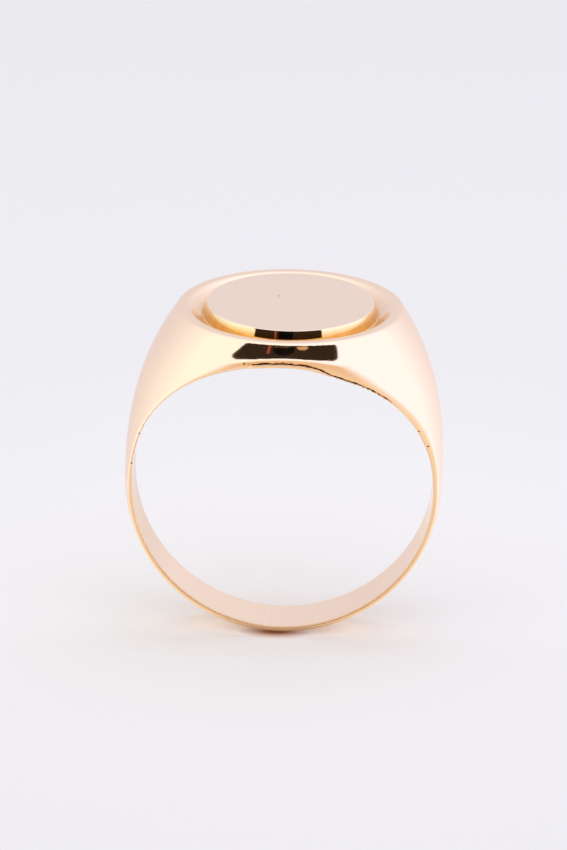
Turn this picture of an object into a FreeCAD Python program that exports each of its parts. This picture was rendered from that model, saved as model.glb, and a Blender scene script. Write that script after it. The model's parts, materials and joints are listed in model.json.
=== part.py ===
"""A hollow-backed gold signet ring: an oval face, a raised plate, tapering shoulders and a domed shank.

Millimetres. The origin is the middle of the finger hole.
The hole runs along Y, and +Z points out of the face.
The finger hole is two half circles joined by two short straight runs,
because a worn ring is slightly taller than it is wide.
"""
import FreeCAD, Part
import math
import os

# finger hole
FINGER_CIRCUMFERENCE = 63.0  # ring size, as the inside length round the hole
HOLE_RISE = 0.25  # how far the two half circles' centres stand above and below the middle
HOLE_RADIUS = (FINGER_CIRCUMFERENCE - 4 * HOLE_RISE) / (2 * math.pi)

# face
FACE_HEIGHT = 11.70  # the rim's top above the middle of the hole
RIM_HALF_WIDTH = 7.26
RIM_HALF_LENGTH = 7.81
RIM_BAND = 0.65
MOAT_DEPTH = 0.62
MOAT_FLOOR_GAP = 0.16  # the flat floor left between the plate's foot and the sloping side
PLATE_HALF_WIDTH = 5.42
PLATE_HALF_LENGTH = 6.04
PLATE_PROUD = 0.25  # how far the plate stands above the rim
PLATE_FLARE = 0.24  # how much further out the plate's foot is than its top
PLATE_SOLDER = 0.05
PLATE_SOLDER_LIP = 0.10

# outside shape: every level cut through the head is an ellipse, SIDE by WALL half axes
SIDE_HALF_WIDTH = 10.45
SIDE_CURVE = 2.2
WALL_HALF_LENGTH = 8.19
WALL_CURVE_HEIGHT = 1.63  # the front and rear walls lean in over this height below the face

# shank
SHANK_HALF_LENGTH = 1.90
SHANK_STEP = 0.02  # the shank's outside is this much smaller than the shoulders where they meet
SHANK_SECTION_HALF = 3.0  # the section is drawn this far along Y, then trimmed
SHANK_OVERLAP = 1.0  # and this far into the hole, which is cut afterwards
WIDENING_START = -1.5  # the height from which the band widens towards the head
WIDENING_RATE = 0.0466
TRIM_HEADROOM = 1.0  # the shape that trims the band reaches this far above the face

# hollow, lining and solder
SHELL_WALL = 0.55
FLOOR_THICKNESS = 0.45
LINING_THICKNESS = 0.27
LINING_REACH = 66.0  # degrees from the top to each end of the lining
LINING_OVERCUT = 1.0  # the lining's seat is cut from this far inside the finger hole
HOLLOW_REACH = 61.0
END_JOINT = 0.5  # degrees
SEAM_HEIGHT = 0.10
SEAM_DEPTH = 0.14
OPEN_SEAM = (-11.0, 48.0)  # degrees from the top, towards +X: here the front solder has gone
OPEN_SEAM_DEPTH = 0.40
SHANK_JOINT_ANGLE = 185.5
SHANK_JOINT_WIDTH = 0.08

LEVELS = 9  # ovals in the stack that the head is lofted through
OVAL_POINTS = 24
FAR = 30.0

UP = FreeCAD.Vector(0, 0, 1)
AXIS = FreeCAD.Vector(0, 1, 0)
CENTRE_UP = FreeCAD.Vector(0, 0, HOLE_RISE)


def side_half_width(z):
    """Half the head's width along X at height z."""
    closing = 1 - (RIM_HALF_WIDTH / SIDE_HALF_WIDTH) ** 2
    reach = (FACE_HEIGHT - HOLE_RISE) / closing ** (1 / SIDE_CURVE)
    return SIDE_HALF_WIDTH * math.sqrt(1 - ((z - HOLE_RISE) / reach) ** SIDE_CURVE)


def wall_half_length(z):
    """Half the head's length along Y at height z."""
    lean = max(0.0, 1 - (FACE_HEIGHT - z) / WALL_CURVE_HEIGHT)
    return WALL_HALF_LENGTH - (WALL_HALF_LENGTH - RIM_HALF_LENGTH) * lean**2


def oval_wire(half_width, half_length, z):
    """An ellipse at height z, as a closed smooth curve with its knots at the same turns every time."""
    turns = [2 * math.pi * i / OVAL_POINTS for i in range(OVAL_POINTS)]
    curve = Part.BSplineCurve()
    curve.interpolate(
        Points=[FreeCAD.Vector(half_width * math.cos(t), half_length * math.sin(t), z) for t in turns],
        Parameters=turns + [2 * math.pi],
        PeriodicFlag=True,
    )
    return Part.Wire(curve.toShape())


def oval_prism(half_width, half_length, z_low, z_high):
    face = Part.Face(oval_wire(half_width, half_length, z_low))
    return face.extrude(UP * (z_high - z_low))


def head_solid(inset, z_top):
    """The head's outside shape, drawn in by inset, from the hole's upper centre to z_top."""
    turns = [math.pi / 2 * i / (LEVELS - 1) for i in range(LEVELS)]
    heights = [HOLE_RISE + (z_top - HOLE_RISE) * math.sin(turn) for turn in turns]
    ovals = [oval_wire(side_half_width(z) - inset, wall_half_length(z) - inset, z) for z in heights]
    return Part.makeLoft(ovals, True)


def shank_solid():
    """The lower half of the band before its sides are trimmed: a domed section turned round the hole."""
    centre = FreeCAD.Vector(0, 0, -HOLE_RISE)
    crown = SIDE_HALF_WIDTH - SHANK_STEP
    dome_radius = WALL_HALF_LENGTH**2 / SIDE_HALF_WIDTH
    turn = math.asin(SHANK_SECTION_HALF / dome_radius)
    inside = HOLE_RADIUS - SHANK_OVERLAP
    edge = crown - dome_radius * (1 - math.cos(turn))

    def at(x, y):
        return centre + FreeCAD.Vector(x, y, 0)

    edges = [
        Part.Arc(at(edge, -SHANK_SECTION_HALF), at(crown, 0), at(edge, SHANK_SECTION_HALF)).toShape(),
        Part.makeLine(at(edge, SHANK_SECTION_HALF), at(inside, SHANK_SECTION_HALF)),
        Part.makeLine(at(inside, SHANK_SECTION_HALF), at(inside, -SHANK_SECTION_HALF)),
        Part.makeLine(at(inside, -SHANK_SECTION_HALF), at(edge, -SHANK_SECTION_HALF)),
    ]
    section = Part.Face(Part.Wire(edges))
    far_section = section.copy()
    far_section.rotate(centre, AXIS, 180)
    lower = section.revolve(centre, AXIS, 180)
    sides = [end.extrude(UP * 2 * HOLE_RISE) for end in (section, far_section)]
    return lower.fuse(sides)


def half_length_at(z):
    """Half the band's length along Y at height z, where its edge is trimmed."""
    rise = max(0.0, z - WIDENING_START)
    return SHANK_HALF_LENGTH + WIDENING_RATE * rise**2


def band_envelope():
    """A prism along X that trims the band to its changing length along Y."""
    top = FACE_HEIGHT + TRIM_HEADROOM
    heights = [WIDENING_START + (top - WIDENING_START) * i / (LEVELS - 1) for i in range(LEVELS)]
    flank = Part.BSplineCurve()
    flank.interpolate(
        Points=[FreeCAD.Vector(-FAR, half_length_at(z), z) for z in heights],
        InitialTangent=UP,
        FinalTangent=FreeCAD.Vector(0, 2 * WIDENING_RATE * (heights[-1] - WIDENING_START), 1),
    )
    head = flank.EndPoint
    foot = FreeCAD.Vector(-FAR, SHANK_HALF_LENGTH, -FAR)
    across = FreeCAD.Matrix()
    across.scale(1, -1, 1)
    right = [Part.makeLine(foot, flank.StartPoint), flank.toShape()]
    left = [edge.transformGeometry(across) for edge in right]
    caps = [
        Part.makeLine(head, FreeCAD.Vector(-FAR, -head.y, head.z)),
        Part.makeLine(foot, FreeCAD.Vector(-FAR, -foot.y, foot.z)),
    ]
    outline = Part.Wire(Part.__sortEdges__(right + left + caps))
    return Part.Face(outline).extrude(FreeCAD.Vector(2 * FAR, 0, 0))


def hole_prism(radius):
    """The finger hole's shape at any radius, as a prism along Y."""
    top = FreeCAD.Vector(0, -FAR, HOLE_RISE + radius)
    bottom = FreeCAD.Vector(0, -FAR, -HOLE_RISE - radius)
    corners = [
        FreeCAD.Vector(-radius, -FAR, HOLE_RISE),
        FreeCAD.Vector(radius, -FAR, HOLE_RISE),
        FreeCAD.Vector(radius, -FAR, -HOLE_RISE),
        FreeCAD.Vector(-radius, -FAR, -HOLE_RISE),
    ]
    edges = [
        Part.Arc(corners[0], top, corners[1]).toShape(),
        Part.makeLine(corners[1], corners[2]),
        Part.Arc(corners[2], bottom, corners[3]).toShape(),
        Part.makeLine(corners[3], corners[0]),
    ]
    return Part.Face(Part.Wire(edges)).extrude(AXIS * 2 * FAR)


def sector(angle_from, angle_to):
    """A wedge along Y about the upper circle's axis. Angles are degrees from the top, towards +X."""
    def ray(angle):
        turned = math.radians(angle)
        return CENTRE_UP + FreeCAD.Vector(FAR * math.sin(turned), -FAR, FAR * math.cos(turned))

    apex = CENTRE_UP - AXIS * FAR
    middle = ray((angle_from + angle_to) / 2)
    edges = [
        Part.makeLine(apex, ray(angle_from)),
        Part.Arc(ray(angle_from), middle, ray(angle_to)).toShape(),
        Part.makeLine(ray(angle_to), apex),
    ]
    return Part.Face(Part.Wire(edges)).extrude(AXIS * 2 * FAR)


def sheet_space(inner, outer, angle_from, angle_to):
    """The space between two radii of the finger hole's shape, between two angles."""
    return hole_prism(outer).cut(hole_prism(inner)).common(sector(angle_from, angle_to))


def band_solid():
    """The whole ring's outside, with the finger hole still closed."""
    rough = head_solid(0, FACE_HEIGHT).fuse(shank_solid())
    return rough.common(band_envelope())


def hollow():
    """The empty space between the struck head and its lining."""
    ceiling = FACE_HEIGHT - MOAT_DEPTH - FLOOR_THICKNESS
    inner = head_solid(SHELL_WALL, ceiling)
    space = sheet_space(HOLE_RADIUS + LINING_THICKNESS, FAR / 2, -HOLLOW_REACH, HOLLOW_REACH)
    return inner.common(space).common(trimmed(SHELL_WALL))


def trimmed(inset):
    """The band's envelope drawn in along Y by inset."""
    return band_envelope().common(moved(band_envelope(), -inset)).common(moved(band_envelope(), inset))


def moved(shape, y):
    copy = shape.copy()
    copy.translate(AXIS * y)
    return copy


def moat():
    """The sunk ring round the plate: a sloping side down to a narrow flat floor."""
    floor = FACE_HEIGHT - MOAT_DEPTH
    clear = PLATE_FLARE + MOAT_FLOOR_GAP
    top = oval_wire(RIM_HALF_WIDTH - RIM_BAND, RIM_HALF_LENGTH - RIM_BAND, FACE_HEIGHT)
    foot = oval_wire(PLATE_HALF_WIDTH + clear, PLATE_HALF_LENGTH + clear, floor)
    return Part.makeLoft([foot, top], True, True)


def signet_plate():
    """The raised plate, whose side flares out towards its foot."""
    foot_height = FACE_HEIGHT - MOAT_DEPTH + PLATE_SOLDER
    foot = oval_wire(PLATE_HALF_WIDTH + PLATE_FLARE, PLATE_HALF_LENGTH + PLATE_FLARE, foot_height)
    top = oval_wire(PLATE_HALF_WIDTH, PLATE_HALF_LENGTH, FACE_HEIGHT + PLATE_PROUD)
    return Part.makeLoft([foot, top], True, True)


def plate_solder():
    foot = FACE_HEIGHT - MOAT_DEPTH
    spread = PLATE_FLARE + PLATE_SOLDER_LIP
    return oval_prism(PLATE_HALF_WIDTH + spread, PLATE_HALF_LENGTH + spread, foot, foot + PLATE_SOLDER)


def back_lining(band):
    reach = LINING_REACH - END_JOINT
    sheet = sheet_space(HOLE_RADIUS, HOLE_RADIUS + LINING_THICKNESS, -reach, reach)
    return band.common(sheet)


def lining_end_solder(band):
    space = sheet_space(HOLE_RADIUS, HOLE_RADIUS + LINING_THICKNESS, -LINING_REACH, LINING_REACH)
    middle = sector(-(LINING_REACH - END_JOINT), LINING_REACH - END_JOINT)
    return band.common(space).cut(middle)


def seam_run(band, side, angle_from, angle_to, depth):
    """A run of the joint line between body and lining, on the front (side -1) or the rear (side 1)."""
    inner = HOLE_RADIUS + LINING_THICKNESS
    strip = sheet_space(inner, inner + SEAM_HEIGHT, angle_from, angle_to)
    half = Part.makeBox(2 * FAR, FAR, 2 * FAR, FreeCAD.Vector(-FAR, 0 if side > 0 else -FAR, -FAR))
    kept = moved(band, -side * depth)
    return band.common(strip).common(half).cut(kept)


def shank_joint(band):
    box = Part.makeBox(SHANK_JOINT_WIDTH, 2 * FAR, FAR, FreeCAD.Vector(-SHANK_JOINT_WIDTH / 2, -FAR, 0))
    box.rotate(FreeCAD.Vector(0, 0, 0), AXIS, SHANK_JOINT_ANGLE)
    return band.common(box).cut(hole_prism(HOLE_RADIUS))


def ring_body(band, parts_in_it):
    body = band.cut(hole_prism(HOLE_RADIUS))
    seat_inner = HOLE_RADIUS - LINING_OVERCUT
    seat_outer = HOLE_RADIUS + LINING_THICKNESS
    body = body.cut(sheet_space(seat_inner, seat_outer, -LINING_REACH, LINING_REACH))
    body = body.cut(hollow()).cut(moat())
    for piece in parts_in_it:
        body = body.cut(piece)
    return body


def build():
    band = band_solid()
    reach = LINING_REACH - END_JOINT
    open_from, open_to = OPEN_SEAM
    front_runs = [
        seam_run(band, -1, -reach, open_from, SEAM_DEPTH),
        seam_run(band, -1, open_to, reach, SEAM_DEPTH),
    ]
    gap = seam_run(band, -1, open_from, open_to, OPEN_SEAM_DEPTH)
    rear_run = seam_run(band, 1, -reach, reach, SEAM_DEPTH)
    joint = shank_joint(band)
    return {
        "ring_body": ring_body(band, front_runs + [gap, rear_run, joint]),
        "signet_plate": signet_plate(),
        "plate_solder": plate_solder(),
        "back_lining": back_lining(band),
        "front_lining_solder": Part.makeCompound(front_runs),
        "rear_lining_solder": rear_run,
        "lining_end_solder": lining_end_solder(band),
        "shank_joint": joint,
    }


os.makedirs("parts", exist_ok=True)
for name, shape in build().items():
    solids = shape.Solids
    whole = solids[0] if len(solids) == 1 else Part.makeCompound(solids)
    whole.exportStep(f"parts/{name}.step")
    box = whole.BoundBox
    print(f"{name}: {len(solids)} solid(s), {whole.Volume:.3f} mm3, valid {whole.isValid()}, "
          f"z {box.ZMin:.2f} to {box.ZMax:.2f}, y {box.YMin:.2f} to {box.YMax:.2f}")
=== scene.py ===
"""Looks for the gold signet ring: smooth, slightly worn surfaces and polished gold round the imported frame.

Shapes are worked out in millimetres in the ring's own frame and scaled to metres when a mesh is made.
Turns are degrees round the finger hole from the top, positive towards +X.
"""
import itertools
import json
import math

import bpy
import numpy as np
from mathutils import Matrix, Vector


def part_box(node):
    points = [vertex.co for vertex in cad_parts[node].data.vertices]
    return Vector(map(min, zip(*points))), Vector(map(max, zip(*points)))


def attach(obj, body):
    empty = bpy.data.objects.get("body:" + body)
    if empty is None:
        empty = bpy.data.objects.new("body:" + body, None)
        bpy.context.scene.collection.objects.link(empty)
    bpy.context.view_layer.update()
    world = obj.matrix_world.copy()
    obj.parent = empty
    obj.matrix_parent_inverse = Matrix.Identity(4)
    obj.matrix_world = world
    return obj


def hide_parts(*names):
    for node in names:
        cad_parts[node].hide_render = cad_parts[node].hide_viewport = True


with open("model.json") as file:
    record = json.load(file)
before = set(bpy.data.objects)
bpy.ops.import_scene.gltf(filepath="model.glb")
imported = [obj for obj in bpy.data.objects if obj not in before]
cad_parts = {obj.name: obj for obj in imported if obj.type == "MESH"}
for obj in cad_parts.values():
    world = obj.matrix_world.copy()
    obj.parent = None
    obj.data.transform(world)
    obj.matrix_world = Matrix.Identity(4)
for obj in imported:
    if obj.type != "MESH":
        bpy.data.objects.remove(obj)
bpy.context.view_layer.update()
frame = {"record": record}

MM = 0.001
DEGREE = math.radians(1)
TINY = 1e-9  # keeps a divisor away from zero

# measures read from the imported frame
MOUNTS = {mount["name"]: mount for mount in frame["record"]["mounts"]}
HOLE_RADIUS = MOUNTS["finger_hole"]["dims"]["r_mm"]
BODY_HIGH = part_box("ring_body")[1] / MM
PLATE_LOW, PLATE_HIGH = [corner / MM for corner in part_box("signet_plate")]
LIP_LOW, LIP_HIGH = [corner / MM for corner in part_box("plate_solder")]
FACE_HEIGHT = BODY_HIGH.z
SIDE_HALF_WIDTH = BODY_HIGH.x
WALL_HALF_LENGTH = BODY_HIGH.y
MOAT_FLOOR = LIP_LOW.z

# the body
HOLE_RISE = 0.25  # the hole is two half circles, with centres this far above and below the middle
RING_FOOT = -SIDE_HALF_WIDTH - HOLE_RISE
SIDE_CURVE = 2.2  # above 2, the sides stay upright for longer before they turn in to the rim
RIM_HALF_WIDTH = 7.26
RIM_HALF_LENGTH = 7.81
RIM_BAND = 0.65
WALL_CURVE_HEIGHT = 1.63
SHANK_HALF_LENGTH = 1.90
WIDENING_START = -1.5
WIDENING_RATE = 0.0466
MOAT_FLOOR_GAP = 0.16

# the plate and the solder line round its foot
PLATE_TOP_HALF_WIDTH = 5.42
PLATE_FLARE = PLATE_HIGH.x - PLATE_TOP_HALF_WIDTH
PLATE_EDGE = 0.05
LIP_SLOPE = 0.05
LIP_CREST_INSET = 0.09
LIP_CREST_HEIGHT = 0.03

# the lining and its joints
LINING_THICKNESS = 0.27
LINING_REACH = 66.0
LINING_END = 65.5
LINING_SET_BACK = 0.14
OPEN_SET_BACK = 0.1  # along the open seam, at its +X end
SINKING_BACK = (15, 45)  # turns over which it sinks back that far
JOINT_COVER_DEPTH = 0.55  # where the joint is sound, the body covers the lining's edge this far in
FLUSH_STEP = 0.02  # and down to this far from the hole, because the joint is polished flush
SEAM_HEIGHT = 0.10
SEAM_DEPTH = 0.14
SEAM_WAVES = ((0.5, 0.9, 1), (0.35, 2.3, 0), (0.15, 3.7, 2))  # strength, quickness and start of each
SEAM_LOWERING = 0.65  # towards +X the joint line comes down by this share of the lining's thickness
SEAM_GOES_DOWN = (10, 20)
SEAM_COMES_UP = (56, 64)
SEAM_LOWERED_DEPTH = 0.65  # how far in from the front it is down
OPEN_SEAM_START = -11.0
OPEN_SEAM_END = 48.0
OPEN_SEAM_DEPTH = 0.40
OPEN_GAP = 0.75  # its mean gap as a share of the seam's height, and how much that varies
OPEN_GAP_VARIES = 0.5
BEAD_HALF_HEIGHT = 0.56  # as a share of the seam's height, and the next as a share of its depth
BEAD_HALF_DEPTH = 0.52
BEAD_UNEVENNESS = 0.06
END_JOINT_HALF_LENGTH = 6.3
END_JOINT_PROUD = 0.006
SHANK_JOINT_ANGLE = 185.5
SHANK_JOINT_WIDTH = 0.08
SHANK_JOINT_PROUD = 0.004

# how round the edges are worn
RIM_ROUNDING = 0.16
BRINK_ROUNDING = 0.1
MOAT_ROUNDING = 0.2
SHANK_SIDE_ROUNDING = 0.12
HEAD_SIDE_ROUNDING = 0.45  # more than the shank's, at the face
HOLE_EDGE_ROUNDING = 0.12
HEAD_EDGE_ROUNDING = 0.18  # more than the hole's, under the head
UNDER_HEAD = (5, 10)  # heights over which that grows
OPEN_EDGE_ROUNDING = 0.05
LINING_FRONT_ROUNDING = 0.06
LINING_END_ROUNDING = 0.03
SHEET_ROUNDING = 0.02
END_JOINT_ROUNDING = 0.08
SHANK_JOINT_ROUNDING = 0.10
SLICE_ROUNDING = 0.01
SHORT_STEP = 0.05  # half the distance over which one outline gives way to another

# a hand-finished ring isn't quite even
HEAD_LEAN = 0.022  # the head leans this much towards +X for each mm of height
HOLE_SAG = 0.28  # above the hole, towards +X, the lining and the body's edge sit this far into it
SAG_BEGINS = (6, 24)
SAG_ENDS = (50, 110)

# rough places of the casting pits near the edge of the hole, and the exact one of a speck on the plate
EDGE_PITS = [(-2.5, -8.0, 10.3), (-9.3, -3.1, 3.7), (-9.8, -2.3, 1.3), (8.75, -3.6, 4.55), (9.4, -3.0, 3.3)]
PLATE_SPECK = Vector((-0.53, 1.06, PLATE_HIGH.z))
PIT_RADIUS = 0.09

# where shade is painted into the gold's colour, and how much of it there is, from 0 to 1
MOAT_SHADE = 0.68
MOAT_SHADE_WIDTH = 0.28
MOAT_SHADE_GAP = 0.1  # it is deepest this far from the plate's foot
# the shank's front edge, on the front only, gets a painted reflection: a thin orange tint
EDGE_TINT = 0.6
EDGE_TINT_HEIGHTS = (-8, -1)  # full below the first, none above the second
EDGE_WEAR_HEIGHTS = (0, 6)
EDGE_BAND = 0.15
SEAM_SHADE_ABOVE = (0.10, 0.17)  # it thins out this far above the joint line
SEAM_SHADE_BELOW = 0.06
LIP_SHADE = 0.8

# how finely the meshes follow the shapes
BODY_CELL = 0.11
LINING_CELL = 0.1
END_JOINT_CELL = 0.04
SHANK_JOINT_CELL = 0.025
SLOPE_STEP = 0.004
EVENING_ROUNDS = 3
SETTLING_ROUNDS = 4
END_JOINT_ROUNDS = 3
HALVINGS = 30
OVAL_STEPS = 192
BEAD_POINTS_ROUND = 10
BEAD_TURN = 0.5
PLATE_EDGE_STEPS = 6
CARD_CORNER_STEPS = 8


# ---------------------------------------------------------------- shape of the band as distances

def smooth_max(a, b, rounding):
    overlap = np.maximum(rounding - np.abs(a - b), 0) / rounding
    return np.maximum(a, b) + overlap**2 * rounding / 4


def smooth_min(a, b, rounding):
    return -smooth_max(-a, -b, rounding)


def ramp(value, start, end):
    """0 before start, 1 after end, smooth between."""
    share = np.clip((value - start) / (end - start), 0, 1)
    return share * share * (3 - 2 * share)


def fade(value, start, end):
    """1 before start, 0 after end, smooth between."""
    return ramp(-value, -end, -start)


def step_up(value, middle):
    """0 below the middle and 1 above it, with a short ramp."""
    return ramp(value, middle - SHORT_STEP, middle + SHORT_STEP)


def lean(z):
    """How far the head's outside has shifted towards +X at height z."""
    return HEAD_LEAN * np.maximum(z, 0)


def side_half_width(z):
    closing = 1 - (RIM_HALF_WIDTH / SIDE_HALF_WIDTH) ** 2
    reach = (FACE_HEIGHT - HOLE_RISE) / closing ** (1 / SIDE_CURVE)
    rise = np.clip(z - HOLE_RISE, 0, None) / reach
    return SIDE_HALF_WIDTH * np.sqrt(1 - rise**SIDE_CURVE)


def wall_half_length(z):
    inward = np.clip(1 - (FACE_HEIGHT - z) / WALL_CURVE_HEIGHT, 0, None)
    return WALL_HALF_LENGTH - (WALL_HALF_LENGTH - RIM_HALF_LENGTH) * inward**2


def barrel(x, y, z):
    """Distance outside the rounded outer surface: level ovals above, a domed ring below."""
    across = np.hypot(x, np.minimum(z + HOLE_RISE, 0))
    reach = np.hypot(across / side_half_width(z), y / wall_half_length(z)) + TINY
    return np.hypot(across, y) * (1 - 1 / reach)


def flank(y, z):
    """Distance outside the front and rear flanks, which spread apart towards the head."""
    rise = np.maximum(z - WIDENING_START, 0)
    slope = 2 * WIDENING_RATE * rise
    return (np.abs(y) - SHANK_HALF_LENGTH - WIDENING_RATE * rise**2) / np.sqrt(1 + slope**2)


def oval_reach(x, y, half_width, half_length):
    """How far the oval reaches from the middle in the direction of a point, and how far off the point is."""
    far = np.hypot(x, y)
    return far / (np.hypot(x / half_width, y / half_length) + TINY), far


def top_level(x, y):
    """Height of the face: a flat rim, then a sloping side down to the sunk floor."""
    foot, far = oval_reach(x, y, PLATE_HIGH.x + MOAT_FLOOR_GAP, PLATE_HIGH.y + MOAT_FLOOR_GAP)
    brink, far = oval_reach(x, y, RIM_HALF_WIDTH - RIM_BAND, RIM_HALF_LENGTH - RIM_BAND)
    slope = MOAT_FLOOR + (FACE_HEIGHT - MOAT_FLOOR) * (far - foot) / (brink - foot + TINY)
    return smooth_min(smooth_max(slope, MOAT_FLOOR, MOAT_ROUNDING), FACE_HEIGHT, BRINK_ROUNDING)


def hole_distance(x, z):
    return np.hypot(x, z - np.clip(z, -HOLE_RISE, HOLE_RISE))


def turn_from_top(x, z):
    return np.degrees(np.arctan2(x, z - HOLE_RISE))


def hole_radius(turn):
    """The hole is a little less open on its upper +X side."""
    return HOLE_RADIUS - HOLE_SAG * ramp(turn, *SAG_BEGINS) * fade(turn, *SAG_ENDS)


def seam_height(turn):
    """How far the joint line between lining and body stands from the hole's edge."""
    return LINING_THICKNESS * (1 - SEAM_LOWERING * ramp(turn, *SEAM_GOES_DOWN) * fade(turn, *SEAM_COMES_UP))


def outside(x, y, z):
    """Distance outside the ring, with the finger hole closed."""
    x = x - lean(z)
    side_rounding = SHANK_SIDE_ROUNDING + HEAD_SIDE_ROUNDING * ramp(z, 0, FACE_HEIGHT)
    shell = smooth_max(barrel(x, y, z), flank(y, z), side_rounding)
    return smooth_max(shell, z - top_level(x, y), RIM_ROUNDING)


def jagged(turn):
    """A fixed uneven line, between about -1 and 1, along the seam."""
    return sum(strength * np.sin(turn * quickness + start) for strength, quickness, start in SEAM_WAVES)


def seam_opening(x, y, z):
    """1 where the solder between body and lining has gone, 0 where it is sound."""
    turn = turn_from_top(x, z)
    begun = ramp(turn, OPEN_SEAM_START - 3, OPEN_SEAM_START + 1)
    return begun * fade(turn, OPEN_SEAM_END - 5, OPEN_SEAM_END + 3) * (y < 0)


def sheet_thickness(turn, shell, opened):
    """The lining's thickness, which shrinks to the joint line's height just inside the open seam."""
    near_front = step_up(shell, -SEAM_LOWERED_DEPTH) * opened
    return LINING_THICKNESS + (seam_height(turn) - LINING_THICKNESS) * near_front


def body_inner_radius(x, z, shell, opened):
    """The body wraps the lining. Near front and rear it covers the lining's edge, except at the open seam."""
    turn = turn_from_top(x, z)
    lined = fade(np.abs(turn), LINING_END, LINING_REACH)
    covered = step_up(shell, -JOINT_COVER_DEPTH) * (1 - opened)
    deep = step_up(shell, -OPEN_SEAM_DEPTH) * opened
    gap = SEAM_HEIGHT * (OPEN_GAP + OPEN_GAP_VARIES * jagged(turn)) * deep
    recess = (sheet_thickness(turn, shell, opened) + gap) * (1 - covered)
    return hole_radius(turn) + lined * (recess + FLUSH_STEP * covered)


def body_field(x, y, z):
    shell = outside(x, y, z)
    opened = seam_opening(x, y, z)
    inside = body_inner_radius(x, z, shell, opened) - hole_distance(x, z)
    sound_rounding = HOLE_EDGE_ROUNDING + HEAD_EDGE_ROUNDING * ramp(z, *UNDER_HEAD)
    return smooth_max(shell, inside, OPEN_EDGE_ROUNDING * opened + sound_rounding * (1 - opened))


def lining_field(x, y, z):
    """The thin sheet. Its edge shows at the open seam, and sinks back along it towards +X."""
    turn = turn_from_top(x, z)
    depth = hole_distance(x, z) - hole_radius(turn)
    opened = seam_opening(x, y, z)
    shell = outside(x, y, z)
    sheet = smooth_max(-depth, depth - sheet_thickness(turn, shell, opened), SHEET_ROUNDING)
    ends = (np.abs(turn) - LINING_END) * DEGREE * HOLE_RADIUS
    set_back = LINING_SET_BACK * (1 - opened) + opened * OPEN_SET_BACK * ramp(turn, *SINKING_BACK)
    trimmed = smooth_max(sheet, shell + set_back, LINING_FRONT_ROUNDING)
    return smooth_max(trimmed, ends, LINING_END_ROUNDING)


def end_solder_field(x, y, z):
    """The thin joints between the lining's ends and the body."""
    turn = turn_from_top(x, z)
    depth = hole_distance(x, z) - hole_radius(turn)
    sheet = np.maximum(-depth - END_JOINT_PROUD, depth - LINING_THICKNESS)
    middle = (LINING_REACH + LINING_END) / 2
    half = (LINING_REACH - LINING_END) / 2 * DEGREE * HOLE_RADIUS
    ends = np.abs(np.abs(turn) - middle) * DEGREE * HOLE_RADIUS - half
    trimmed = smooth_max(sheet, outside(x, y, z), END_JOINT_ROUNDING)
    return smooth_max(trimmed, ends, SHEET_ROUNDING)


def shank_joint_field(x, y, z):
    """A thin slice across the shank, a hair larger than the shank itself."""
    turn = SHANK_JOINT_ANGLE * DEGREE
    off_plane = np.abs(x * math.cos(turn) - z * math.sin(turn)) - SHANK_JOINT_WIDTH / 2
    shank = smooth_max(outside(x, y, z), HOLE_RADIUS - hole_distance(x, z), SHANK_JOINT_ROUNDING)
    return smooth_max(shank - SHANK_JOINT_PROUD, off_plane, SLICE_ROUNDING)


# ---------------------------------------------------------------- meshes

def sample(field, low, high, cell):
    """The field on a grid of points cell apart, one slice of constant x at a time."""
    counts = [int(math.ceil((high[i] - low[i]) / cell)) + 1 for i in range(3)]
    x, y, z = [low[i] + cell * np.arange(counts[i]) for i in range(3)]
    return np.stack([field(level, y[:, None], z[None, :]) for level in x])


def surface_net(values, low, cell):
    """One point in every cell that the surface crosses, and a face across every crossed grid edge."""
    solid = values < 0
    counts = [count - 1 for count in solid.shape]
    filled = np.zeros(counts, int)
    for corner in itertools.product((0, 1), repeat=3):
        filled += solid[tuple(slice(start, start + count) for start, count in zip(corner, counts))]
    crossed = (filled > 0) & (filled < 8)
    index = np.full(crossed.shape, -1)
    index[crossed] = np.arange(crossed.sum())
    points = np.array(low) + (np.argwhere(crossed) + 0.5) * cell
    directions = np.eye(3, dtype=int)
    faces = []
    for axis in range(3):
        side = directions[(axis + 1) % 3]
        other = directions[(axis + 2) % 3]
        first = np.delete(solid, -1, axis)
        second = np.delete(solid, 0, axis)
        for leaving, change in ((True, first & ~second), (False, ~first & second)):
            at = np.argwhere(change)
            ring = [at - side - other, at - other, at, at - side]
            ring = ring if leaving else ring[::-1]
            faces.append(np.stack([index[tuple(corner.T)] for corner in ring], axis=1))
    return points, np.concatenate(faces)


def slope_of(field, points):
    slopes = []
    for direction in np.eye(3):
        shift = direction * SLOPE_STEP
        slopes.append((field(*(points + shift).T) - field(*(points - shift).T)) / (2 * SLOPE_STEP))
    return np.stack(slopes, axis=1)


def settle(field, points, limit):
    """Moves points onto the surface, by at most limit."""
    slope = slope_of(field, points)
    move = -slope * (field(*points.T) / (slope**2).sum(1))[:, None]
    length = np.linalg.norm(move, axis=1)[:, None] + TINY
    return points + move * np.minimum(1, limit / length)


def evened(points, faces):
    """Moves each point halfway to the middle of its neighbours."""
    pairs = np.concatenate([faces[:, [i, (i + 1) % 4]] for i in range(4)])
    count = np.bincount(pairs[:, 0], minlength=len(points))
    sums = [np.bincount(pairs[:, 0], points[pairs[:, 1], axis], len(points)) for axis in range(3)]
    middle = np.stack(sums, axis=1) / count[:, None]
    return (points + middle) / 2


def place(name, vertices, faces, material, replaced, normals=None):
    """Makes a mesh object in metres that rides on the ring and stands for a CAD node."""
    mesh = bpy.data.meshes.new(name)
    mesh.from_pydata((np.array(vertices, float) * MM).tolist(), [], [tuple(face) for face in faces])
    mesh.materials.append(material)
    mesh.shade_smooth()
    if normals is not None:
        mesh.normals_split_custom_set_from_vertices(normals.tolist())
    piece = bpy.data.objects.new(name, mesh)
    bpy.context.scene.collection.objects.link(piece)
    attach(piece, "root")
    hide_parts(replaced)
    return piece


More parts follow.
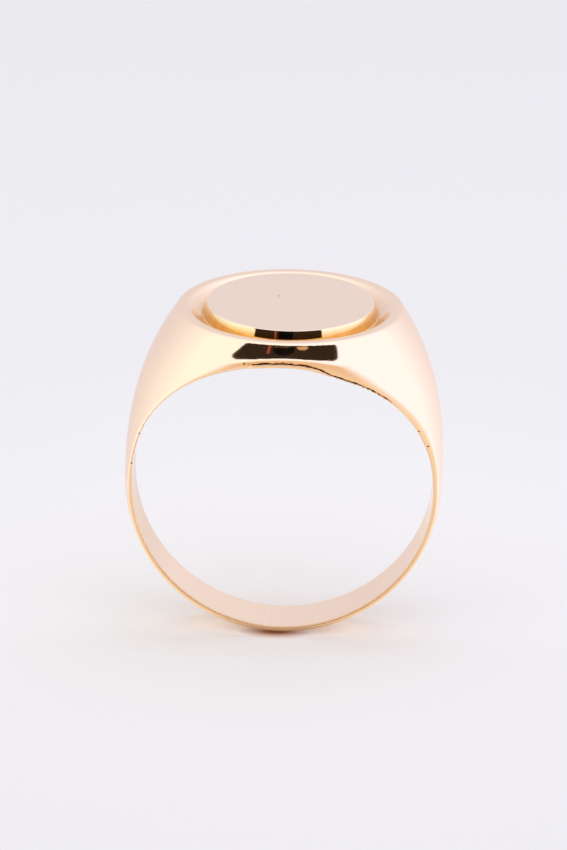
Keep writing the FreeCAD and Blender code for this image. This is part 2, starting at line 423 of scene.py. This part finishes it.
def field_piece(name, field, low, high, cell, material, replaced):
    """A piece whose surface is where its field is zero, with exact normals."""
    points, faces = surface_net(sample(field, low, high, cell), low, cell)
    for _ in range(EVENING_ROUNDS):
        points = evened(settle(field, points, cell), faces)
    for _ in range(SETTLING_ROUNDS):
        points = settle(field, points, cell)
    slope = slope_of(field, points)
    normals = slope / np.linalg.norm(slope, axis=1)[:, None]
    return place(name, points, faces, material, replaced, normals)


def oval_stack(profile, half_width, half_length):
    """A closed oval solid from (inset, height) pairs, from the middle of its foot to that of its top."""
    turns = np.arange(OVAL_STEPS) * 2 * math.pi / OVAL_STEPS
    vertices = []
    for inset, height in profile:
        ring_width = half_width - inset
        ring_length = half_length - inset
        for turn in turns:
            x = ring_width * math.cos(turn) + lean(height)
            vertices.append((x, ring_length * math.sin(turn), height))
    foot_middle = len(vertices)
    vertices.append((lean(profile[0][1]), 0, profile[0][1]))
    top_middle = len(vertices)
    vertices.append((lean(profile[-1][1]), 0, profile[-1][1]))
    last = (len(profile) - 1) * OVAL_STEPS
    faces = []
    for base in range(0, last, OVAL_STEPS):
        above = base + OVAL_STEPS
        for i in range(OVAL_STEPS):
            j = (i + 1) % OVAL_STEPS
            faces.append((base + i, base + j, above + j, above + i))
    for i in range(OVAL_STEPS):
        j = (i + 1) % OVAL_STEPS
        faces.append((foot_middle, j, i))
        faces.append((top_middle, last + i, last + j))
    return vertices, faces


def edge_length(turn, radius, inset):
    """Half the ring's length along Y at an angle and radius, drawn in by inset."""
    x = radius * np.sin(np.radians(turn))
    z = HOLE_RISE + radius * np.cos(np.radians(turn))
    low = np.zeros_like(x)
    high = np.full_like(x, WALL_HALF_LENGTH)
    for _ in range(HALVINGS):
        middle = (low + high) / 2
        beyond = outside(x, middle, z) > -inset
        low = np.where(beyond, low, middle)
        high = np.where(beyond, middle, high)
    return low


def bead_run(side, turn_from, turn_to, vertices, faces):
    """Adds a thin uneven run of solder along the joint, on the front (side -1) or the rear (side 1)."""
    turns = np.linspace(turn_from, turn_to, int((turn_to - turn_from) / BEAD_TURN) + 1)
    middles = hole_radius(turns) + LINING_THICKNESS + SEAM_HEIGHT / 2
    lengths = edge_length(turns, middles, SEAM_DEPTH / 2)
    start = len(vertices)
    for turn, middle, y, wave in zip(turns, middles, lengths, jagged(turns)):
        radial = np.array((math.sin(math.radians(turn)), 0, math.cos(math.radians(turn))))
        centre = radial * middle + np.array((0, side * y, HOLE_RISE))
        half_height = SEAM_HEIGHT * (BEAD_HALF_HEIGHT + BEAD_UNEVENNESS * wave)
        half_depth = SEAM_DEPTH * (BEAD_HALF_DEPTH + BEAD_UNEVENNESS * wave)
        for i in range(BEAD_POINTS_ROUND):
            round_it = 2 * math.pi * i / BEAD_POINTS_ROUND
            across = radial * math.cos(round_it) * half_height
            outward = np.array((0, side, 0)) * math.sin(round_it) * half_depth
            vertices.append(centre + across + outward)
    last = start + (len(turns) - 1) * BEAD_POINTS_ROUND
    new_faces = []
    for base in range(start, last, BEAD_POINTS_ROUND):
        above = base + BEAD_POINTS_ROUND
        for i in range(BEAD_POINTS_ROUND):
            j = (i + 1) % BEAD_POINTS_ROUND
            new_faces.append((base + i, base + j, above + j, above + i))
    new_faces.append(tuple(start + i for i in reversed(range(BEAD_POINTS_ROUND))))
    new_faces.append(tuple(last + i for i in range(BEAD_POINTS_ROUND)))
    faces.extend(face if side < 0 else face[::-1] for face in new_faces)


# ---------------------------------------------------------------- colours, as parts of red, green and blue

BLACK = (0, 0, 0)
GLANCING_TINT = (1.0, 0.93, 0.85)
SHADE_TINT = (0.77, 0.48, 0.14)  # painted shade multiplies the gold's own colour by this
PIT_COLOUR = (0.10, 0.05, 0.03)
LEFT_WALL = (1.24, 1.25, 1.24)
RIGHT_WALL = (1.24, 1.27, 1.48)
BACKDROP = (0.852, 0.844, 0.965)
FLOOR_PATCHES = ((0.728, 0.708, 0.680), (0.742, 0.722, 0.694))
# painted shade on the floor further from the ring
FLOOR_FAR_SHADE = (0.700, 0.682, 0.655)
# painted shadow where the shank rests on the floor
FLOOR_CONTACT_SHADOW = (0.60, 0.30, 0.16)
FLOOR_FILL = (0.075, 0.078, 0.08)
TABLE_TAN = (0.90, 0.66, 0.46)
TABLE_WARM = (1.0, 0.84, 0.62)
TABLE_BROWN = (0.30, 0.16, 0.09)

# the light that the gold throws back on the floor, from its furthest reach (metres) in to the ring's foot
THROWN_LIGHT_REACH = 0.011
THROWN_LIGHT = (
    (0.0, BLACK),
    (0.35, (0.05, 0.04, 0.035)),
    (0.62, (0.20, 0.155, 0.15)),
    (0.76, (0.20, 0.14, 0.11)),
    (0.87, (0.03, 0.015, 0.01)),
    (1.0, (0.03, 0.015, 0.01)),
)

# the gold's texture, and the patches of its painted shade, in features per metre
SHADE_PATCH_SCALE = 1400
POLISH_SCALE = 500
WAVE_SCALE = 260
HAIRLINE_SCALE = 900
HAIRLINE_SETS = (((1, 14, 1), 0.5), ((12, 1, 1), 0.2), ((1, 1, 16), 0.9))  # stretch and turn
FLOOR_SCALE = 8
WEAR = 0.60  # how much roughness full wear adds


# ---------------------------------------------------------------- material nodes

def new_material(name):
    material = bpy.data.materials.new(name)
    material.use_nodes = True
    tree = material.node_tree
    return material, tree, tree.nodes["Principled BSDF"]


def noise(tree, scale, stretch=(1, 1, 1), turn=(0, 0, 0), detail=2):
    """Noise in the piece's own space. Scale is features per metre."""
    coordinates = tree.nodes.new("ShaderNodeTexCoord")
    mapping = tree.nodes.new("ShaderNodeMapping")
    mapping.inputs["Scale"].default_value = stretch
    mapping.inputs["Rotation"].default_value = turn
    texture = tree.nodes.new("ShaderNodeTexNoise")
    texture.inputs["Scale"].default_value = scale
    texture.inputs["Detail"].default_value = detail
    tree.links.new(coordinates.outputs["Object"], mapping.inputs["Vector"])
    tree.links.new(mapping.outputs["Vector"], texture.inputs["Vector"])
    return texture.outputs["Fac"]


def remap(tree, value, from_low, from_high, to_low=0, to_high=1):
    node = tree.nodes.new("ShaderNodeMapRange")
    node.inputs["From Min"].default_value = from_low
    node.inputs["From Max"].default_value = from_high
    node.inputs["To Min"].default_value = to_low
    node.inputs["To Max"].default_value = to_high
    tree.links.new(value, node.inputs["Value"])
    return node.outputs["Result"]


def calculated(tree, operation, *values):
    """The result of a sum on values, each given as a number or as a socket."""
    node = tree.nodes.new("ShaderNodeMath")
    node.operation = operation
    for socket, value in zip(node.inputs, values):
        if isinstance(value, (int, float)):
            socket.default_value = value
        else:
            tree.links.new(value, socket)
    return node.outputs["Value"]


def mixed(tree, factor, first, second):
    """Mixes two colours, each given as a colour or as a socket."""
    node = tree.nodes.new("ShaderNodeMix")
    node.data_type = "RGBA"
    tree.links.new(factor, node.inputs["Factor"])
    for name, colour in (("A", first), ("B", second)):
        if isinstance(colour, tuple):
            node.inputs[name].default_value = (*colour, 1)
        else:
            tree.links.new(colour, node.inputs[name])
    return node.outputs["Result"]


def added(tree, first, second):
    """Adds two colours."""
    node = tree.nodes.new("ShaderNodeVectorMath")
    node.operation = "ADD"
    tree.links.new(first, node.inputs[0])
    tree.links.new(second, node.inputs[1])
    return node.outputs["Vector"]


def stored(tree, name):
    """What mark() stored on the mesh under this name."""
    node = tree.nodes.new("ShaderNodeAttribute")
    node.attribute_name = name
    return node.outputs["Fac"]


def bump(tree, height, distance, before=None):
    """Raises the surface by distance (metres) where height is 1."""
    node = tree.nodes.new("ShaderNodeBump")
    node.inputs["Distance"].default_value = distance
    tree.links.new(height, node.inputs["Height"])
    if before is not None:
        tree.links.new(before, node.inputs["Normal"])
    return node.outputs["Normal"]


def distance_from(tree, centre, stretch=(1, 1, 1)):
    """Distance in metres from a place in the piece's own space. Stretch makes a direction count for more."""
    coordinates = tree.nodes.new("ShaderNodeTexCoord")
    mapping = tree.nodes.new("ShaderNodeMapping")
    mapping.inputs["Scale"].default_value = stretch
    tree.links.new(coordinates.outputs["Object"], mapping.inputs["Vector"])
    measure = tree.nodes.new("ShaderNodeVectorMath")
    measure.operation = "DISTANCE"
    measure.inputs[1].default_value = [part * scale for part, scale in zip(centre, stretch)]
    tree.links.new(mapping.outputs["Vector"], measure.inputs[0])
    return measure.outputs["Value"]


def near(tree, centre, inner, outer, stretch=(1, 1, 1)):
    """1 within inner metres of a place, 0 beyond outer metres."""
    return remap(tree, distance_from(tree, centre, stretch), inner, outer, 1, 0)


def colour_along(tree, value, stops):
    """A colour that changes smoothly along value, from (position, colour) stops."""
    node = tree.nodes.new("ShaderNodeValToRGB")
    band = node.color_ramp
    band.interpolation = "EASE"
    while len(band.elements) < len(stops):
        band.elements.new(0.5)
    for element, (position, colour) in zip(band.elements, stops):
        element.position = position
        element.color = (*colour, 1)
    tree.links.new(value, node.inputs["Fac"])
    return node.outputs["Color"]


# ---------------------------------------------------------------- materials

def gold(name, colour, roughness, waviness, scratches, pits=()):
    """Polished metal: hand-finished waves, hairline scratches, uneven polish, painted shade, wear and casting
    pits.

    Waviness and scratches are heights in metres, and pits are places in mm.
    """
    material, tree, shader = new_material(name)
    shader.inputs["Metallic"].default_value = 1.0
    shader.inputs["Specular Tint"].default_value = (*GLANCING_TINT, 1)

    # painted shade: the stored amount, broken into patches, pulls the gold towards the shade tint
    shaded = tuple(part * tint for part, tint in zip(colour, SHADE_TINT))
    patches = remap(tree, noise(tree, SHADE_PATCH_SCALE, detail=4), 0.35, 0.75, 0.75, 1.0)
    surface = mixed(tree, calculated(tree, "MULTIPLY", stored(tree, "painted_shade"), patches), colour, shaded)
    for pit in pits:
        radius = PIT_RADIUS * MM
        surface = mixed(tree, near(tree, tuple(pit * MM), radius / 2, radius), surface, PIT_COLOUR)
    tree.links.new(surface, shader.inputs["Base Color"])

    polish = remap(tree, noise(tree, POLISH_SCALE, detail=5), 0.3, 0.7, roughness * 0.7, roughness * 1.4)
    worn = calculated(tree, "MULTIPLY_ADD", stored(tree, "worn"), WEAR, polish)
    tree.links.new(worn, shader.inputs["Roughness"])

    normal = bump(tree, noise(tree, WAVE_SCALE, detail=1), waviness)
    for stretch, turn in HAIRLINE_SETS:
        streaks = noise(tree, HAIRLINE_SCALE, stretch, (turn, turn / 2, turn), detail=3)
        normal = bump(tree, remap(tree, streaks, 0.56, 0.70), scratches, normal)
    tree.links.new(normal, shader.inputs["Normal"])
    return material


def plain_floor():
    """A pale table with a painted shadow where the shank rests on it. Painted light, given off by the floor,
    stands for light that the gold throws back: it warms the floor close to the ring, and a faint fill spreads
    further.
    """
    material, tree, shader = new_material("pale_floor")
    shader.inputs["Roughness"].default_value = 0.9
    shader.inputs["Specular IOR Level"].default_value = 0.1
    table = mixed(tree, noise(tree, FLOOR_SCALE), *FLOOR_PATCHES)
    # painted shade: the floor darkens between 5 and 18 cm from the ring
    far_shade = remap(tree, distance_from(tree, (0, 0, 0)), 0.05, 0.18)
    table = mixed(tree, far_shade, table, FLOOR_FAR_SHADE)
    # painted shadow: a small brown patch under the shank's front, where the floor's painted light is cut off
    # too
    contact_shadow = near(tree, (-0.0004, -0.0014, 0), 0.0006, 0.0025, stretch=(1, 2.2, 1))
    tree.links.new(mixed(tree, contact_shadow, table, FLOOR_CONTACT_SHADOW), shader.inputs["Base Color"])

    close = near(tree, (0, -0.0004, 0), 0, THROWN_LIGHT_REACH, stretch=(1, 3.2, 1))
    around = remap(tree, distance_from(tree, (0, 0.008, 0)), 0, 0.05)
    wide_fill = colour_along(tree, around, ((0, FLOOR_FILL), (1, BLACK)))
    light = added(tree, colour_along(tree, close, THROWN_LIGHT), wide_fill)
    tree.links.new(mixed(tree, contact_shadow, light, BLACK), shader.inputs["Emission Color"])
    shader.inputs["Emission Strength"].default_value = 1.0
    return material


def light_only(name, strength):
    """A material that gives light and reflects none. Its colour is still to be set."""
    material, tree, shader = new_material(name)
    shader.inputs["Base Color"].default_value = (*BLACK, 1)
    shader.inputs["Roughness"].default_value = 1.0
    shader.inputs["Specular IOR Level"].default_value = 0
    shader.inputs["Emission Strength"].default_value = strength
    return material, tree, shader


def glow(name, colour, strength):
    material, _, shader = light_only(name, strength)
    shader.inputs["Emission Color"].default_value = (*colour, 1)
    return material


def surroundings(tree, direction):
    """White walls on the front side, cooler and brighter towards +X, and a paler lilac backdrop behind.

    Gives the colour in a direction, and that direction's Y.
    """
    parts = tree.nodes.new("ShaderNodeSeparateXYZ")
    tree.links.new(direction, parts.inputs["Vector"])
    x = parts.outputs["X"]
    y = parts.outputs["Y"]
    walls = mixed(tree, remap(tree, x, -0.7, 0.6), LEFT_WALL, RIGHT_WALL)
    backward = calculated(tree, "MULTIPLY_ADD", x, -0.22, y)
    return mixed(tree, remap(tree, backward, 0.16, 1.0), walls, BACKDROP), y


def table_glow():
    """What the ring sees of the lit table: warm and dim close by, tan in front, and bright further off."""
    material, tree, shader = light_only("lit_table", 1.0)
    coordinates = tree.nodes.new("ShaderNodeTexCoord")
    direction = tree.nodes.new("ShaderNodeVectorMath")
    direction.operation = "NORMALIZE"
    tree.links.new(coordinates.outputs["Object"], direction.inputs[0])
    walls, y = surroundings(tree, direction.outputs["Vector"])
    forward = remap(tree, y, -0.44, -0.76)
    within_reach = near(tree, (0, 0, 0), 0.10, 0.20)
    colour = mixed(tree, calculated(tree, "MULTIPLY", forward, within_reach), walls, TABLE_TAN)
    colour = mixed(tree, near(tree, (0, -0.006, 0), 0.006, 0.036), colour, TABLE_WARM)
    colour = mixed(tree, near(tree, (0, 0, 0), 0.001, 0.006), colour, TABLE_BROWN)
    tree.links.new(colour, shader.inputs["Emission Color"])
    return material


# ---------------------------------------------------------------- painted shade and wear

def mark(piece, name, amount):
    """Stores how much of something, such as painted shade or wear, there is at each point, from 0 to 1."""
    places = np.array([vertex.co for vertex in piece.data.vertices]) / MM
    attribute = piece.data.attributes.new(name, "FLOAT", "POINT")
    attribute.data.foreach_set("value", amount(*places.T).astype(np.float32))


def near_hole_edge(x, y, z):
    """1 on the front and rear edges of the hole, fading to 0 a little way off."""
    from_outside = outside(x, y, z)
    from_hole = hole_distance(x, z) - hole_radius(turn_from_top(x, z))
    return np.exp(-(from_outside**2 + from_hole**2) / EDGE_BAND**2)


def body_painted_shade(x, y, z):
    """Painted shade in the foot of the moat and along the open seam, and a thin painted reflection tint on
    the shank's front edge.
    """
    # painted reflection: an orange tint on the front edge of the shank
    edge = EDGE_TINT * near_hole_edge(x, y, z) * fade(z, *EDGE_TINT_HEIGHTS) * (y < 0)
    turn = turn_from_top(x, z)
    above = hole_distance(x, z) - hole_radius(turn) - seam_height(turn)
    foot, far = oval_reach(x - lean(z), y, PLATE_HIGH.x + MOAT_SHADE_GAP, PLATE_HIGH.y + MOAT_SHADE_GAP)
    in_moat = (z < FACE_HEIGHT - 0.2) & (z > MOAT_FLOOR - 0.1)
    moat = MOAT_SHADE * np.exp(-np.abs(far - foot) / MOAT_SHADE_WIDTH) * in_moat
    begun = ramp(turn, OPEN_SEAM_START - 4, OPEN_SEAM_START)
    opened = begun * fade(turn, OPEN_SEAM_END - 8, OPEN_SEAM_END + 2)
    seam = opened * (y < 0) * fade(above, *SEAM_SHADE_ABOVE) * ramp(above, -SEAM_SHADE_BELOW, 0)
    return np.clip(moat + seam + edge, 0, 1)


def edge_wear(x, y, z):
    """Fingers dull the polish along the edges of the hole, below the lining."""
    return near_hole_edge(x, y, z) * fade(z, *EDGE_WEAR_HEIGHTS)


def plate_painted_shade(x, y, z):
    """Painted shade: the plate's side is duller and more orange towards its foot, fading out towards the
    rear.
    """
    return fade(z, FACE_HEIGHT - 0.20, FACE_HEIGHT + 0.08) * fade(y, -1, 3)


# painted shade: the whole solder line at the plate's foot is darker and more orange
def lip_painted_shade(x, y, z):
    return np.full_like(z, LIP_SHADE)


# ---------------------------------------------------------------- the ring

def make_body(material):
    margin = 0.3
    low = (-SIDE_HALF_WIDTH - margin, -WALL_HALF_LENGTH - margin, RING_FOOT - margin)
    high = (SIDE_HALF_WIDTH + margin, WALL_HALF_LENGTH + margin, FACE_HEIGHT + margin)
    body = field_piece("band", body_field, low, high, BODY_CELL, material, "ring_body")
    mark(body, "painted_shade", body_painted_shade)
    mark(body, "worn", edge_wear)


def make_lining(material):
    margin = 0.2
    outer_radius = HOLE_RADIUS + LINING_THICKNESS
    half_width = outer_radius * math.sin(math.radians(LINING_REACH))
    end_level = HOLE_RISE + HOLE_RADIUS * math.cos(math.radians(LINING_REACH))
    low = (-half_width - margin, -WALL_HALF_LENGTH - margin, end_level - 2 * margin)
    high = (half_width + margin, WALL_HALF_LENGTH + margin, HOLE_RISE + outer_radius + margin)
    field_piece("inner_lining", lining_field, low, high, LINING_CELL, material, "back_lining")


def make_lining_ends(material):
    """The soldered end joints, one on each side of the hole."""
    margin = 0.24
    turn = (LINING_END + LINING_REACH) / 2
    points = []
    faces = []
    for side in (-1, 1):
        middle = hole_radius(side * turn) + LINING_THICKNESS / 2
        x = side * middle * math.sin(math.radians(turn))
        z = HOLE_RISE + middle * math.cos(math.radians(turn))
        low = (x - margin, -END_JOINT_HALF_LENGTH, z - margin)
        high = (x + margin, END_JOINT_HALF_LENGTH, z + margin)
        values = sample(end_solder_field, low, high, END_JOINT_CELL)
        end_points, end_faces = surface_net(values, low, END_JOINT_CELL)
        for _ in range(END_JOINT_ROUNDS):
            end_points = settle(end_solder_field, end_points, END_JOINT_CELL)
        faces.extend(end_faces + len(points))
        points.extend(end_points)
    place("lining_end_joints", points, faces, material, "lining_end_solder")


def make_shank_joint(material):
    margin = 0.2
    x = math.sin(math.radians(SHANK_JOINT_ANGLE)) * (HOLE_RADIUS + HOLE_RISE)
    half_length = SHANK_HALF_LENGTH + margin
    low = (x - margin, -half_length, RING_FOOT - margin / 2)
    high = (x + margin, half_length, -HOLE_RADIUS - HOLE_RISE + 1.5 * margin)
    cell = SHANK_JOINT_CELL
    field_piece("sizing_joint", shank_joint_field, low, high, cell, material, "shank_joint")


def make_plate(material, shaded_side_material):
    """The raised oval plate: flat, with a flared side and a crisp, slightly worn edge."""
    side_top = PLATE_HIGH.z - PLATE_EDGE
    profile = [(PLATE_HIGH.x * 0.9, PLATE_LOW.z), (0.02, PLATE_LOW.z)]
    for share in (0, 0.03, 0.5, 0.97):
        profile.append((PLATE_FLARE * share, PLATE_LOW.z + (side_top - PLATE_LOW.z) * share))
    for i in range(PLATE_EDGE_STEPS + 1):
        turn = math.pi / 2 * i / PLATE_EDGE_STEPS
        inset = PLATE_FLARE + PLATE_EDGE * (1 - math.cos(turn))
        profile.append((inset, side_top + PLATE_EDGE * math.sin(turn)))
    for share in (0.01, 0.03, 0.1, 0.2, 0.4, 0.6, 0.8, 0.9):
        profile.append((PLATE_FLARE + PLATE_EDGE + PLATE_HIGH.x * share, PLATE_HIGH.z))
    vertices, faces = oval_stack(profile, PLATE_HIGH.x, PLATE_HIGH.y)
    plate = place("face_plate", vertices, faces, material, "signet_plate")
    plate.data.materials.append(shaded_side_material)
    for face in plate.data.polygons:
        if face.normal.z < 0.5:
            face.material_index = 1
    mark(plate, "painted_shade", plate_painted_shade)


def make_plate_solder(material):
    """A low run of solder round the plate's foot, with a small crest."""
    near_middle = LIP_HIGH.x * 0.9
    profile = [
        (near_middle, LIP_LOW.z),
        (0, LIP_LOW.z),
        (0.01, (LIP_LOW.z + LIP_HIGH.z) / 2),
        (LIP_SLOPE, LIP_HIGH.z),
        (LIP_CREST_INSET, LIP_HIGH.z + LIP_CREST_HEIGHT),
        (near_middle, LIP_HIGH.z),
    ]
    vertices, faces = oval_stack(profile, LIP_HIGH.x, LIP_HIGH.y)
    line = place("plate_solder_line", vertices, faces, material, "plate_solder")
    mark(line, "painted_shade", lip_painted_shade)


def make_beads(material):
    """The solder between lining and body. At the front it is missing where the seam is open."""
    vertices, faces = [], []
    bead_run(-1, -LINING_END, OPEN_SEAM_START, vertices, faces)
    bead_run(-1, OPEN_SEAM_END, LINING_END, vertices, faces)
    place("front_solder_bead", vertices, faces, material, "front_lining_solder")
    vertices, faces = [], []
    bead_run(1, -LINING_END, LINING_END, vertices, faces)
    place("rear_solder_bead", vertices, faces, material, "rear_lining_solder")


# ---------------------------------------------------------------- stage

CAMERA_TARGET = Vector((-0.07, 0, 3.43))
CAMERA_DISTANCE = 240.0
CAMERA_ELEVATION = math.radians(20.0)
CAMERA_SIDE = math.radians(1.6)
CAMERA_ROLL = math.radians(1.0)
CAMERA_LENS = 155.3
TOWARDS_CAMERA = Vector((
    math.sin(CAMERA_SIDE) * math.cos(CAMERA_ELEVATION),
    -math.cos(CAMERA_SIDE) * math.cos(CAMERA_ELEVATION),
    math.sin(CAMERA_ELEVATION),
))
CAMERA_PLACE = CAMERA_TARGET + TOWARDS_CAMERA * CAMERA_DISTANCE
FLOOR_LEVEL = RING_FOOT - 0.005
FLOOR_HALF_SIZE = 4000
LIT_TABLE_HALF_SIZE = 3900
LIT_TABLE_GAP = 0.2  # it hangs just above the floor, and only reflections see it


def make_camera():
    data = bpy.data.cameras.new("camera")
    data.sensor_fit = "AUTO"
    data.sensor_width = 36
    data.lens = CAMERA_LENS
    data.clip_start = 0.005
    data.clip_end = 50
    camera = bpy.data.objects.new("camera", data)
    bpy.context.scene.collection.objects.link(camera)
    right = (-TOWARDS_CAMERA).cross(Vector((0, 0, 1))).normalized()
    up = right.cross(-TOWARDS_CAMERA).normalized()
    rolled_right = right * math.cos(CAMERA_ROLL) + up * math.sin(CAMERA_ROLL)
    rolled_up = up * math.cos(CAMERA_ROLL) - right * math.sin(CAMERA_ROLL)
    turn = Matrix((rolled_right, rolled_up, TOWARDS_CAMERA)).transposed()
    camera.matrix_world = Matrix.Translation(CAMERA_PLACE * MM) @ turn.to_4x4()
    bpy.context.scene.camera = camera


def stage_panel(name, outline, centre, material):
    """A flat panel that faces straight up. Its outline is (x, y) pairs in mm round its centre."""
    mesh = bpy.data.meshes.new(name)
    vertices = [(x * MM, y * MM, 0) for x, y in outline]
    mesh.from_pydata(vertices, [], [tuple(range(len(vertices)))])
    mesh.materials.append(material)
    panel = bpy.data.objects.new(name, mesh)
    bpy.context.scene.collection.objects.link(panel)
    panel.location = Vector(centre) * MM
    return panel


def rounded_outline(half_width, half_height, corner, slant=0):
    """A rectangle with rounded corners. Slant draws in one upper corner."""
    outline = []
    for side, level, start in ((1, -1, -90), (1, 1, 0), (-1, 1, 90), (-1, -1, 180)):
        drawn_in = slant if side > 0 and level > 0 else 0
        for i in range(CARD_CORNER_STEPS + 1):
            turn = math.radians(start + 90 * i / CARD_CORNER_STEPS)
            x = side * (half_width - corner) + corner * math.cos(turn) - drawn_in
            y = level * (half_height - corner) + corner * math.sin(turn)
            outline.append((x, y))
    return outline


def reflected_only(panel):
    """Hides a panel from everything but reflections."""
    panel.visible_camera = False
    panel.visible_diffuse = False
    panel.visible_shadow = False


def card(name, turn, rise, distance, outline, material):
    """A card that the ring reflects: turn degrees round from the front towards +X, rise degrees up."""
    turn = math.radians(turn)
    rise = math.radians(rise)
    towards = Vector((math.sin(turn) * math.cos(rise), -math.cos(turn) * math.cos(rise), math.sin(rise)))
    towards = towards * distance
    panel = stage_panel(name, outline, Vector((0, 0, FACE_HEIGHT)) + towards, material)
    panel.rotation_mode = "QUATERNION"
    panel.rotation_quaternion = (-towards).to_track_quat("Z", "Y")
    reflected_only(panel)


def make_cards():
    """The dark shape of camera and photographer, with the lens, its strap and two gold glints."""
    dark = glow("dark_card", (0.05, 0.032, 0.02), 0.7)
    black = glow("lens", (0.004, 0.003, 0.003), 1.0)
    warm = glow("warm_card", (0.66, 0.41, 0.21), 1.0)
    red = glow("red_card", (0.38, 0.09, 0.07), 1.0)
    card("photographer", -2.6, 20.4, 240, rounded_outline(283, 88, 45, slant=85), dark)
    card("lens", -4, 19, 235, rounded_outline(43, 46, 42), black)
    card("lens_strap", -19, 20, 236, rounded_outline(5, 40, 4), red)
    card("lamp_glint", 15, 23, 236, rounded_outline(22, 24, 18), warm)
    card("lamp_streak", -5.5, 22.8, 234, rounded_outline(30, 3, 2), warm)


def make_table():
    floor = [(-FLOOR_HALF_SIZE, -FLOOR_HALF_SIZE), (FLOOR_HALF_SIZE, -FLOOR_HALF_SIZE),
             (FLOOR_HALF_SIZE, FLOOR_HALF_SIZE), (-FLOOR_HALF_SIZE, FLOOR_HALF_SIZE)]
    stage_panel("floor", floor, (0, 0, FLOOR_LEVEL), plain_floor())
    lit_outline = rounded_outline(LIT_TABLE_HALF_SIZE, LIT_TABLE_HALF_SIZE, 100)
    reflected_only(stage_panel("lit_table", lit_outline, (0, 0, FLOOR_LEVEL + LIT_TABLE_GAP), table_glow()))


def make_lights():
    """All light comes from the surroundings."""
    world = bpy.data.worlds.new("studio")
    world.use_nodes = True
    bpy.context.scene.world = world
    tree = world.node_tree
    tree.nodes.clear()
    coordinates = tree.nodes.new("ShaderNodeTexCoord")
    walls, _ = surroundings(tree, coordinates.outputs["Generated"])
    background = tree.nodes.new("ShaderNodeBackground")
    output = tree.nodes.new("ShaderNodeOutputWorld")
    tree.links.new(walls, background.inputs["Color"])
    background.inputs["Strength"].default_value = 1.0
    tree.links.new(background.outputs["Background"], output.inputs["Surface"])


# ---------------------------------------------------------------- everything together

edge_pits = np.array(EDGE_PITS)
for reach in (0.3, 0.1):
    edge_pits = settle(body_field, edge_pits, reach)

body_gold = gold(
    "polished_gold", (0.95, 0.75, 0.57), roughness=0.06, waviness=4e-6, scratches=2e-7, pits=edge_pits)
plate_gold = gold(
    "face_gold", (0.93, 0.77, 0.62), roughness=0.18, waviness=1e-6, scratches=5e-8, pits=[PLATE_SPECK])
# the plate's side and the solder at its foot: a deeper, more orange copy of the gold, as painted shade; its
# low roughness is the side's own polish
shaded_side_gold = gold("plate_side_gold", (0.95, 0.77, 0.47), roughness=0.05, waviness=2e-6, scratches=1e-7)
lining_gold = gold("lining_gold", (0.95, 0.75, 0.58), roughness=0.09, waviness=3e-6, scratches=2e-7)
solder = gold("solder", (0.92, 0.74, 0.56), roughness=0.16, waviness=2e-6, scratches=2e-7)
pale_solder = gold("pale_solder", (0.96, 0.80, 0.64), roughness=0.12, waviness=2e-6, scratches=2e-7)

make_body(body_gold)
make_lining(lining_gold)
make_lining_ends(solder)
make_shank_joint(pale_solder)
make_plate(plate_gold, shaded_side_gold)
make_plate_solder(shaded_side_gold)
make_beads(solder)
make_table()
make_cards()
make_lights()
make_camera()
bpy.context.scene.view_settings.view_transform = "Standard"
